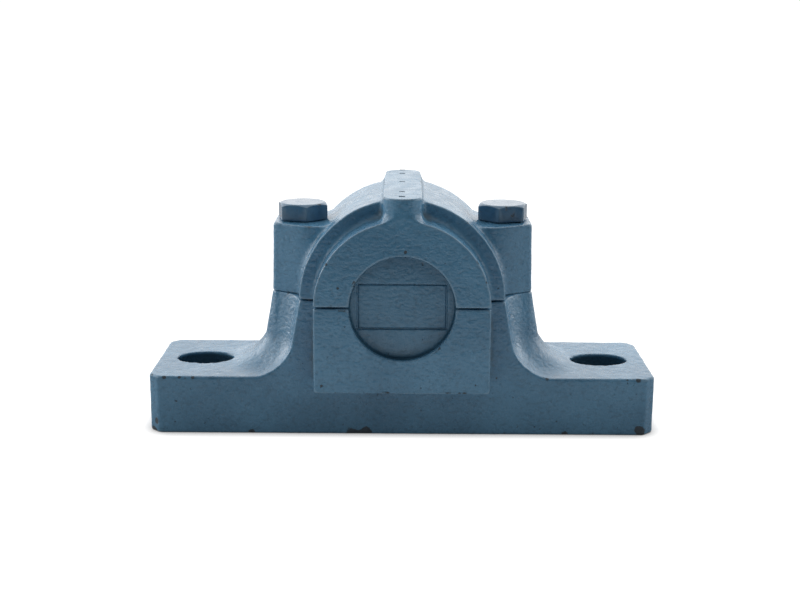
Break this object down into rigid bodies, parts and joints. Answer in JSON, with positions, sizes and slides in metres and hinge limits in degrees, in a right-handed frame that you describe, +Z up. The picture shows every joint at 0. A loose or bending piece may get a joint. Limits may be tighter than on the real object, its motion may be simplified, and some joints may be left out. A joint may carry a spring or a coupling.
{
  "type": "plummer block housing with spherical roller bearing",
  "caption": "Split cast plummer block with a self-aligning spherical roller bearing on an adapter sleeve; carries a rotating shaft above a bolted base.",
  "frame": {"origin": "middle of the machined base face, under the bearing", "axes": "+X along the foot, +Y along the shaft towards the open, sealed end, +Z up"},
  "size_m": [0.185, 0.077, 0.089],
  "materials": {
    "housing_paint": "semi-gloss blue enamel over rough cast iron, chipped along the edges",
    "bolt_paint": "smoother blue enamel over forged steel",
    "cover_paint": "blue enamel, finer surface than the casting",
    "bearing_steel": "ground bearing steel",
    "guide_ring_steel": "sintered steel",
    "cage_steel": "pressed steel cage, matt",
    "sleeve_steel": "turned steel, lightly oiled",
    "nut_steel": "turned steel, darkened",
    "washer_steel": "pressed sheet steel",
    "ground_steel": "ground steel pin",
    "turned_iron": "turned face, bare",
    "seal_rubber": "matt black nitrile rubber"
  },
  "bodies": {
    "housing": {"housing_base": "housing_paint", "housing_cap": "housing_paint", "cap_bolt_left": "bolt_paint", "cap_bolt_right": "bolt_paint", "dowel_pin_front": "ground_steel", "dowel_pin_rear": "ground_steel", "end_cover": "cover_paint", "end_cover_o_ring": "seal_rubber", "shaft_seal_upper": "seal_rubber", "shaft_seal_lower": "seal_rubber", "locating_ring_front": "turned_iron", "locating_ring_rear": "turned_iron", "bearing_outer_ring": "bearing_steel"},
    "guide_ring": {"bearing_guide_ring": "guide_ring_steel"},
    "inner_assembly": {"bearing_inner_ring": "bearing_steel", "adapter_sleeve": "sleeve_steel", "lock_nut": "nut_steel", "lock_washer": "washer_steel"},
    "cage_front": {"cage_front": "cage_steel"},
    "cage_rear": {"cage_rear": "cage_steel"},
    "roller_front_01": {"roller_front_01": "bearing_steel"},
    "roller_front_02": {"roller_front_02": "bearing_steel"},
    "roller_front_03": {"roller_front_03": "bearing_steel"},
    "roller_front_04": {"roller_front_04": "bearing_steel"},
    "roller_front_05": {"roller_front_05": "bearing_steel"},
    "roller_front_06": {"roller_front_06": "bearing_steel"},
    "roller_front_07": {"roller_front_07": "bearing_steel"},
    "roller_front_08": {"roller_front_08": "bearing_steel"},
    "roller_front_09": {"roller_front_09": "bearing_steel"},
    "roller_front_10": {"roller_front_10": "bearing_steel"},
    "roller_front_11": {"roller_front_11": "bearing_steel"},
    "roller_front_12": {"roller_front_12": "bearing_steel"},
    "roller_front_13": {"roller_front_13": "bearing_steel"},
    "roller_front_14": {"roller_front_14": "bearing_steel"},
    "roller_front_15": {"roller_front_15": "bearing_steel"},
    "roller_front_16": {"roller_front_16": "bearing_steel"},
    "roller_rear_01": {"roller_rear_01": "bearing_steel"},
    "roller_rear_02": {"roller_rear_02": "bearing_steel"},
    "roller_rear_03": {"roller_rear_03": "bearing_steel"},
    "roller_rear_04": {"roller_rear_04": "bearing_steel"},
    "roller_rear_05": {"roller_rear_05": "bearing_steel"},
    "roller_rear_06": {"roller_rear_06": "bearing_steel"},
    "roller_rear_07": {"roller_rear_07": "bearing_steel"},
    "roller_rear_08": {"roller_rear_08": "bearing_steel"},
    "roller_rear_09": {"roller_rear_09": "bearing_steel"},
    "roller_rear_10": {"roller_rear_10": "bearing_steel"},
    "roller_rear_11": {"roller_rear_11": "bearing_steel"},
    "roller_rear_12": {"roller_rear_12": "bearing_steel"},
    "roller_rear_13": {"roller_rear_13": "bearing_steel"},
    "roller_rear_14": {"roller_rear_14": "bearing_steel"},
    "roller_rear_15": {"roller_rear_15": "bearing_steel"},
    "roller_rear_16": {"roller_rear_16": "bearing_steel"}
  },
  "joints": [
    {"name": "self_align", "type": "hinge", "parent": "housing", "child": "guide_ring", "pos_m": [0, 0, 0.05], "axis": [1, 0, 0], "range_deg": [-1, 1]},
    {"name": "shaft_spin", "type": "hinge", "parent": "guide_ring", "child": "inner_assembly", "pos_m": [0, 0, 0.05], "axis": [0, 1, 0], "continuous": true},
    {"name": "cage_front_orbit", "type": "hinge", "parent": "guide_ring", "child": "cage_front", "pos_m": [0, 0, 0.05], "axis": [0, 1, 0], "continuous": true},
    {"name": "cage_rear_orbit", "type": "hinge", "parent": "guide_ring", "child": "cage_rear", "pos_m": [0, 0, 0.05], "axis": [0, 1, 0], "continuous": true},
    {"name": "roller_front_01_roll", "type": "hinge", "parent": "cage_front", "child": "roller_front_01", "pos_m": [0.01983, -0.00494, 0.03675], "axis": [0.1686, 0.9792, -0.1127], "continuous": true},
    {"name": "roller_front_02_roll", "type": "hinge", "parent": "cage_front", "child": "roller_front_02", "pos_m": [0.01325, -0.00494, 0.03017], "axis": [0.1127, 0.9792, -0.1686], "continuous": true},
    {"name": "roller_front_03_roll", "type": "hinge", "parent": "cage_front", "child": "roller_front_03", "pos_m": [0.00465, -0.00494, 0.02661], "axis": [0.0396, 0.9792, -0.1989], "continuous": true},
    {"name": "roller_front_04_roll", "type": "hinge", "parent": "cage_front", "child": "roller_front_04", "pos_m": [-0.00465, -0.00494, 0.02661], "axis": [-0.0396, 0.9792, -0.1989], "continuous": true},
    {"name": "roller_front_05_roll", "type": "hinge", "parent": "cage_front", "child": "roller_front_05", "pos_m": [-0.01325, -0.00494, 0.03017], "axis": [-0.1127, 0.9792, -0.1686], "continuous": true},
    {"name": "roller_front_06_roll", "type": "hinge", "parent": "cage_front", "child": "roller_front_06", "pos_m": [-0.01983, -0.00494, 0.03675], "axis": [-0.1686, 0.9792, -0.1127], "continuous": true},
    {"name": "roller_front_07_roll", "type": "hinge", "parent": "cage_front", "child": "roller_front_07", "pos_m": [-0.02339, -0.00494, 0.04535], "axis": [-0.1989, 0.9792, -0.0396], "continuous": true},
    {"name": "roller_front_08_roll", "type": "hinge", "parent": "cage_front", "child": "roller_front_08", "pos_m": [-0.02339, -0.00494, 0.05465], "axis": [-0.1989, 0.9792, 0.0396], "continuous": true},
    {"name": "roller_front_09_roll", "type": "hinge", "parent": "cage_front", "child": "roller_front_09", "pos_m": [-0.01983, -0.00494, 0.06325], "axis": [-0.1686, 0.9792, 0.1127], "continuous": true},
    {"name": "roller_front_10_roll", "type": "hinge", "parent": "cage_front", "child": "roller_front_10", "pos_m": [-0.01325, -0.00494, 0.06983], "axis": [-0.1127, 0.9792, 0.1686], "continuous": true},
    {"name": "roller_front_11_roll", "type": "hinge", "parent": "cage_front", "child": "roller_front_11", "pos_m": [-0.00465, -0.00494, 0.07339], "axis": [-0.0396, 0.9792, 0.1989], "continuous": true},
    {"name": "roller_front_12_roll", "type": "hinge", "parent": "cage_front", "child": "roller_front_12", "pos_m": [0.00465, -0.00494, 0.07339], "axis": [0.0396, 0.9792, 0.1989], "continuous": true},
    {"name": "roller_front_13_roll", "type": "hinge", "parent": "cage_front", "child": "roller_front_13", "pos_m": [0.01325, -0.00494, 0.06983], "axis": [0.1127, 0.9792, 0.1686], "continuous": true},
    {"name": "roller_front_14_roll", "type": "hinge", "parent": "cage_front", "child": "roller_front_14", "pos_m": [0.01983, -0.00494, 0.06325], "axis": [0.1686, 0.9792, 0.1127], "continuous": true},
    {"name": "roller_front_15_roll", "type": "hinge", "parent": "cage_front", "child": "roller_front_15", "pos_m": [0.02339, -0.00494, 0.05465], "axis": [0.1989, 0.9792, 0.0396], "continuous": true},
    {"name": "roller_front_16_roll", "type": "hinge", "parent": "cage_front", "child": "roller_front_16", "pos_m": [0.02339, -0.00494, 0.04535], "axis": [0.1989, 0.9792, -0.0396], "continuous": true},
    {"name": "roller_rear_01_roll", "type": "hinge", "parent": "cage_rear", "child": "roller_rear_01", "pos_m": [0.02203, 0.00494, 0.04088], "axis": [-0.1874, 0.9792, 0.0776], "continuous": true},
    {"name": "roller_rear_02_roll", "type": "hinge", "parent": "cage_rear", "child": "roller_rear_02", "pos_m": [0.01686, 0.00494, 0.03314], "axis": [-0.1434, 0.9792, 0.1434], "continuous": true},
    {"name": "roller_rear_03_roll", "type": "hinge", "parent": "cage_rear", "child": "roller_rear_03", "pos_m": [0.00912, 0.00494, 0.02797], "axis": [-0.0776, 0.9792, 0.1874], "continuous": true},
    {"name": "roller_rear_04_roll", "type": "hinge", "parent": "cage_rear", "child": "roller_rear_04", "pos_m": [0, 0.00494, 0.02616], "axis": [0, 0.9792, 0.2028], "continuous": true},
    {"name": "roller_rear_05_roll", "type": "hinge", "parent": "cage_rear", "child": "roller_rear_05", "pos_m": [-0.00912, 0.00494, 0.02797], "axis": [0.0776, 0.9792, 0.1874], "continuous": true},
    {"name": "roller_rear_06_roll", "type": "hinge", "parent": "cage_rear", "child": "roller_rear_06", "pos_m": [-0.01686, 0.00494, 0.03314], "axis": [0.1434, 0.9792, 0.1434], "continuous": true},
    {"name": "roller_rear_07_roll", "type": "hinge", "parent": "cage_rear", "child": "roller_rear_07", "pos_m": [-0.02203, 0.00494, 0.04088], "axis": [0.1874, 0.9792, 0.0776], "continuous": true},
    {"name": "roller_rear_08_roll", "type": "hinge", "parent": "cage_rear", "child": "roller_rear_08", "pos_m": [-0.02384, 0.00494, 0.05], "axis": [0.2028, 0.9792, 0], "continuous": true},
    {"name": "roller_rear_09_roll", "type": "hinge", "parent": "cage_rear", "child": "roller_rear_09", "pos_m": [-0.02203, 0.00494, 0.05912], "axis": [0.1874, 0.9792, -0.0776], "continuous": true},
    {"name": "roller_rear_10_roll", "type": "hinge", "parent": "cage_rear", "child": "roller_rear_10", "pos_m": [-0.01686, 0.00494, 0.06686], "axis": [0.1434, 0.9792, -0.1434], "continuous": true},
    {"name": "roller_rear_11_roll", "type": "hinge", "parent": "cage_rear", "child": "roller_rear_11", "pos_m": [-0.00912, 0.00494, 0.07203], "axis": [0.0776, 0.9792, -0.1874], "continuous": true},
    {"name": "roller_rear_12_roll", "type": "hinge", "parent": "cage_rear", "child": "roller_rear_12", "pos_m": [0, 0.00494, 0.07384], "axis": [0, 0.9792, -0.2028], "continuous": true},
    {"name": "roller_rear_13_roll", "type": "hinge", "parent": "cage_rear", "child": "roller_rear_13", "pos_m": [0.00912, 0.00494, 0.07203], "axis": [-0.0776, 0.9792, -0.1874], "continuous": true},
    {"name": "roller_rear_14_roll", "type": "hinge", "parent": "cage_rear", "child": "roller_rear_14", "pos_m": [0.01686, 0.00494, 0.06686], "axis": [-0.1434, 0.9792, -0.1434], "continuous": true},
    {"name": "roller_rear_15_roll", "type": "hinge", "parent": "cage_rear", "child": "roller_rear_15", "pos_m": [0.02203, 0.00494, 0.05912], "axis": [-0.1874, 0.9792, -0.0776], "continuous": true},
    {"name": "roller_rear_16_roll", "type": "hinge", "parent": "cage_rear", "child": "roller_rear_16", "pos_m": [0.02384, 0.00494, 0.05], "axis": [-0.2028, 0.9792, 0], "continuous": true}
  ],
  "couplings": [
    {"joint": "cage_front_orbit", "follows": "shaft_spin", "ratio": 0.4199},
    {"joint": "cage_rear_orbit", "follows": "shaft_spin", "ratio": 0.4199},
    {"joint": "roller_front_01_roll", "follows": "shaft_spin", "ratio": -2.9785},
    {"joint": "roller_front_02_roll", "follows": "shaft_spin", "ratio": -2.9785},
    {"joint": "roller_front_03_roll", "follows": "shaft_spin", "ratio": -2.9785},
    {"joint": "roller_front_04_roll", "follows": "shaft_spin", "ratio": -2.9785},
    {"joint": "roller_front_05_roll", "follows": "shaft_spin", "ratio": -2.9785},
    {"joint": "roller_front_06_roll", "follows": "shaft_spin", "ratio": -2.9785},
    {"joint": "roller_front_07_roll", "follows": "shaft_spin", "ratio": -2.9785},
    {"joint": "roller_front_08_roll", "follows": "shaft_spin", "ratio": -2.9785},
    {"joint": "roller_front_09_roll", "follows": "shaft_spin", "ratio": -2.9785},
    {"joint": "roller_front_10_roll", "follows": "shaft_spin", "ratio": -2.9785},
    {"joint": "roller_front_11_roll", "follows": "shaft_spin", "ratio": -2.9785},
    {"joint": "roller_front_12_roll", "follows": "shaft_spin", "ratio": -2.9785},
    {"joint": "roller_front_13_roll", "follows": "shaft_spin", "ratio": -2.9785},
    {"joint": "roller_front_14_roll", "follows": "shaft_spin", "ratio": -2.9785},
    {"joint": "roller_front_15_roll", "follows": "shaft_spin", "ratio": -2.9785},
    {"joint": "roller_front_16_roll", "follows": "shaft_spin", "ratio": -2.9785},
    {"joint": "roller_rear_01_roll", "follows": "shaft_spin", "ratio": -2.9785},
    {"joint": "roller_rear_02_roll", "follows": "shaft_spin", "ratio": -2.9785},
    {"joint": "roller_rear_03_roll", "follows": "shaft_spin", "ratio": -2.9785},
    {"joint": "roller_rear_04_roll", "follows": "shaft_spin", "ratio": -2.9785},
    {"joint": "roller_rear_05_roll", "follows": "shaft_spin", "ratio": -2.9785},
    {"joint": "roller_rear_06_roll", "follows": "shaft_spin", "ratio": -2.9785},
    {"joint": "roller_rear_07_roll", "follows": "shaft_spin", "ratio": -2.9785},
    {"joint": "roller_rear_08_roll", "follows": "shaft_spin", "ratio": -2.9785},
    {"joint": "roller_rear_09_roll", "follows": "shaft_spin", "ratio": -2.9785},
    {"joint": "roller_rear_10_roll", "follows": "shaft_spin", "ratio": -2.9785},
    {"joint": "roller_rear_11_roll", "follows": "shaft_spin", "ratio": -2.9785},
    {"joint": "roller_rear_12_roll", "follows": "shaft_spin", "ratio": -2.9785},
    {"joint": "roller_rear_13_roll", "follows": "shaft_spin", "ratio": -2.9785},
    {"joint": "roller_rear_14_roll", "follows": "shaft_spin", "ratio": -2.9785},
    {"joint": "roller_rear_15_roll", "follows": "shaft_spin", "ratio": -2.9785},
    {"joint": "roller_rear_16_roll", "follows": "shaft_spin", "ratio": -2.9785}
  ]
}
